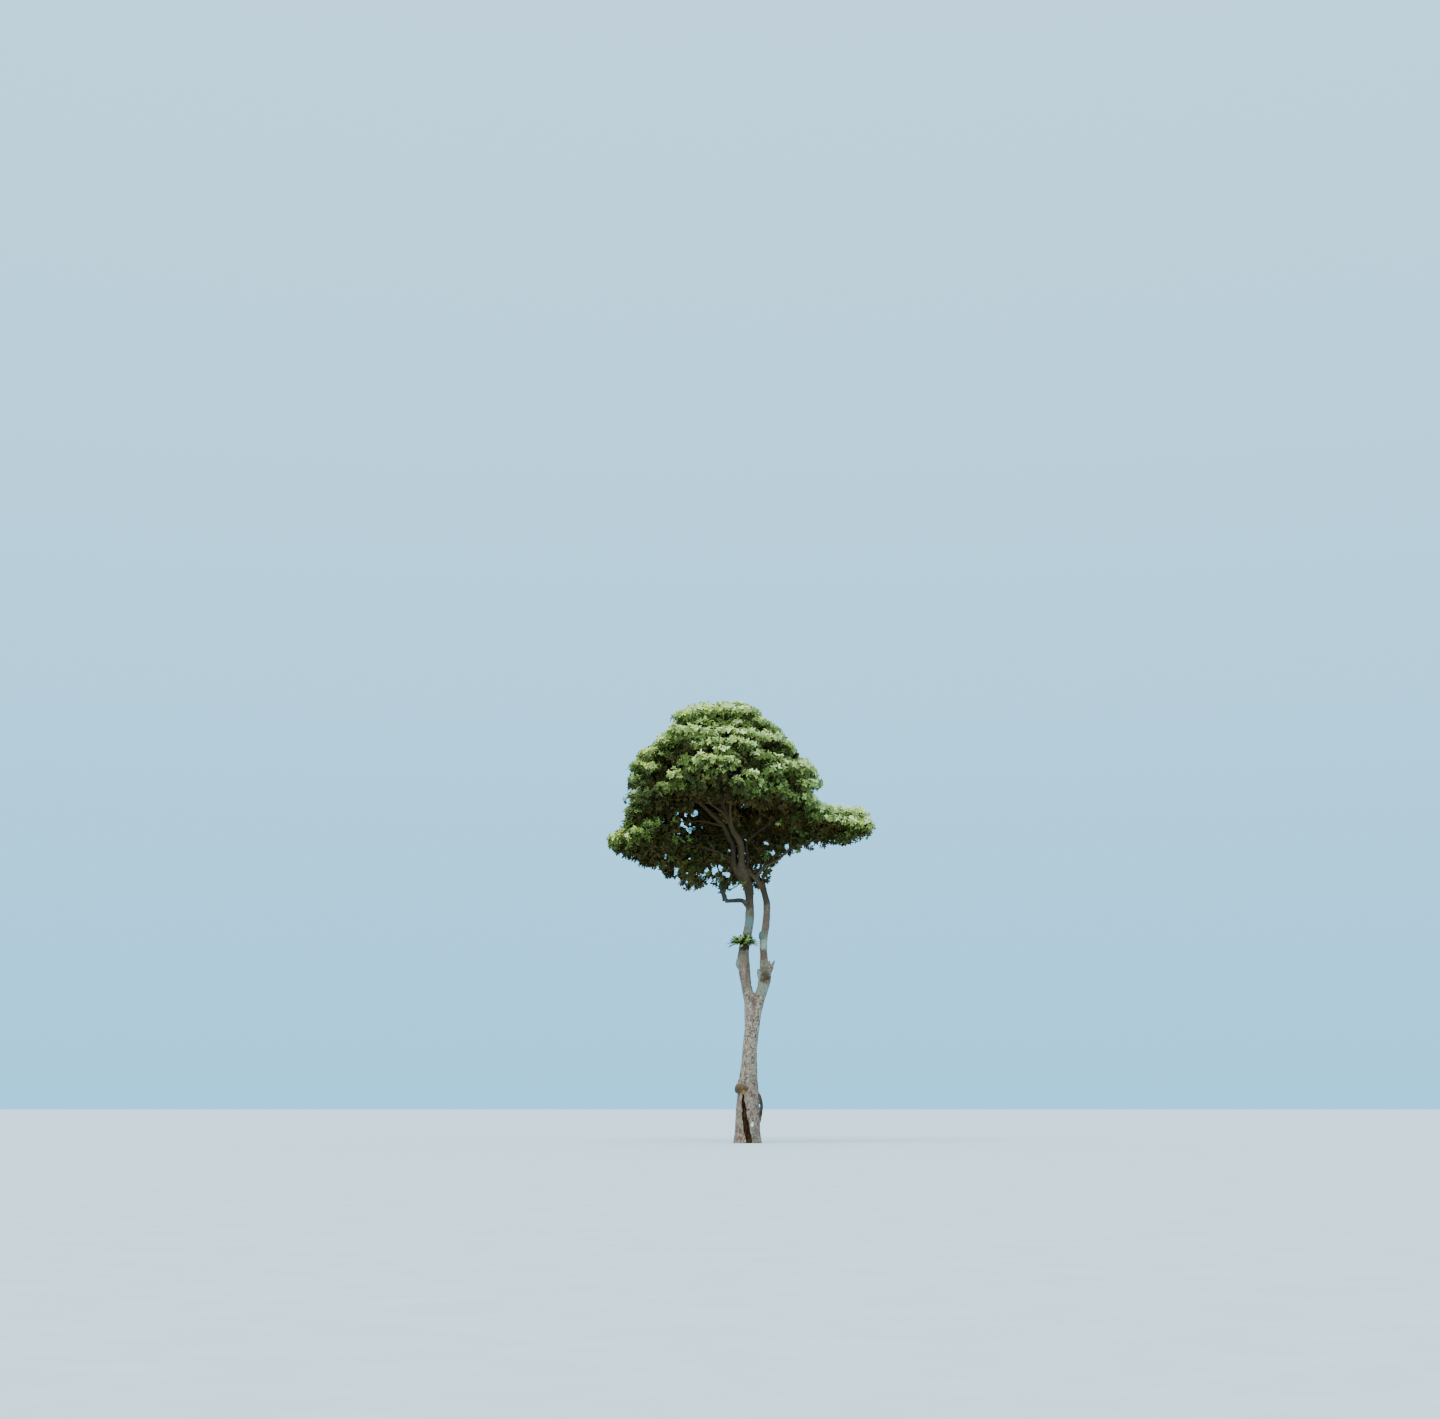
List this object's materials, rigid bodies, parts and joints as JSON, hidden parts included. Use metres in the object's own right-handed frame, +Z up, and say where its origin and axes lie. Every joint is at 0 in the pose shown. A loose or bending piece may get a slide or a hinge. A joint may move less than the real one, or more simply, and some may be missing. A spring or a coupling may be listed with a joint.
{
  "type": "broad-leaved evergreen tree",
  "caption": "Tall evergreen tree with a forked bare trunk, radiating boughs and a wide domed crown with a low lobe on each side.",
  "frame": {"origin": "centre of the flat cut at ground level under the trunk", "axes": "+Z up along the trunk, +X to the right and -Y towards the viewer in the view that the tree is built from"},
  "size_m": [6.7415, 5.2375, 10.9875],
  "materials": {
    "bark": "rough, with pale lichen",
    "foliage": "leathery leaves",
    "tuft": "strap leaves"
  },
  "bodies": {
    "root": {"back": "foliage", "back_left": "foliage", "back_right": "foliage", "bough_back": "bark", "bough_back_left": "bark", "bough_back_right": "bark", "bough_crest_2": "bark", "bough_crest_3": "bark", "bough_left_lobe_outer": "bark", "bough_left_long": "bark", "bough_left_low": "bark", "bough_low_left_outer": "bark", "bough_low_right": "bark", "bough_middle_2": "bark", "bough_middle_3": "bark", "bough_middle_5": "bark", "bough_middle_6": "bark", "bough_right_high": "bark", "bough_right_low": "bark", "bough_side_left": "bark", "bough_upper_1": "bark", "bough_upper_2": "bark", "bough_upper_3": "bark", "bough_upper_4": "bark", "bough_upper_5": "bark", "bough_upper_6": "bark", "crest_1": "foliage", "crest_2": "foliage", "crest_3": "foliage", "leader_left": "bark", "leader_middle": "bark", "leader_right": "bark", "leaf_tuft": "tuft", "left_lobe_inner": "foliage", "left_lobe_outer": "foliage", "left_stem": "bark", "low_left_inner": "foliage", "low_left_outer": "foliage", "low_middle": "foliage", "low_right": "foliage", "middle_1": "foliage", "middle_2": "foliage", "middle_3": "foliage", "middle_4": "foliage", "middle_5": "foliage", "middle_6": "foliage", "right_lobe_inner": "foliage", "right_lobe_outer": "foliage", "right_stem": "bark", "side_left": "foliage", "stem_link": "bark", "trunk": "bark", "twisted_bough": "bark", "twisted_bough_rise": "bark", "upper_1": "foliage", "upper_2": "foliage", "upper_3": "foliage", "upper_4": "foliage", "upper_5": "foliage", "upper_6": "foliage"}
  },
  "joints": []
}
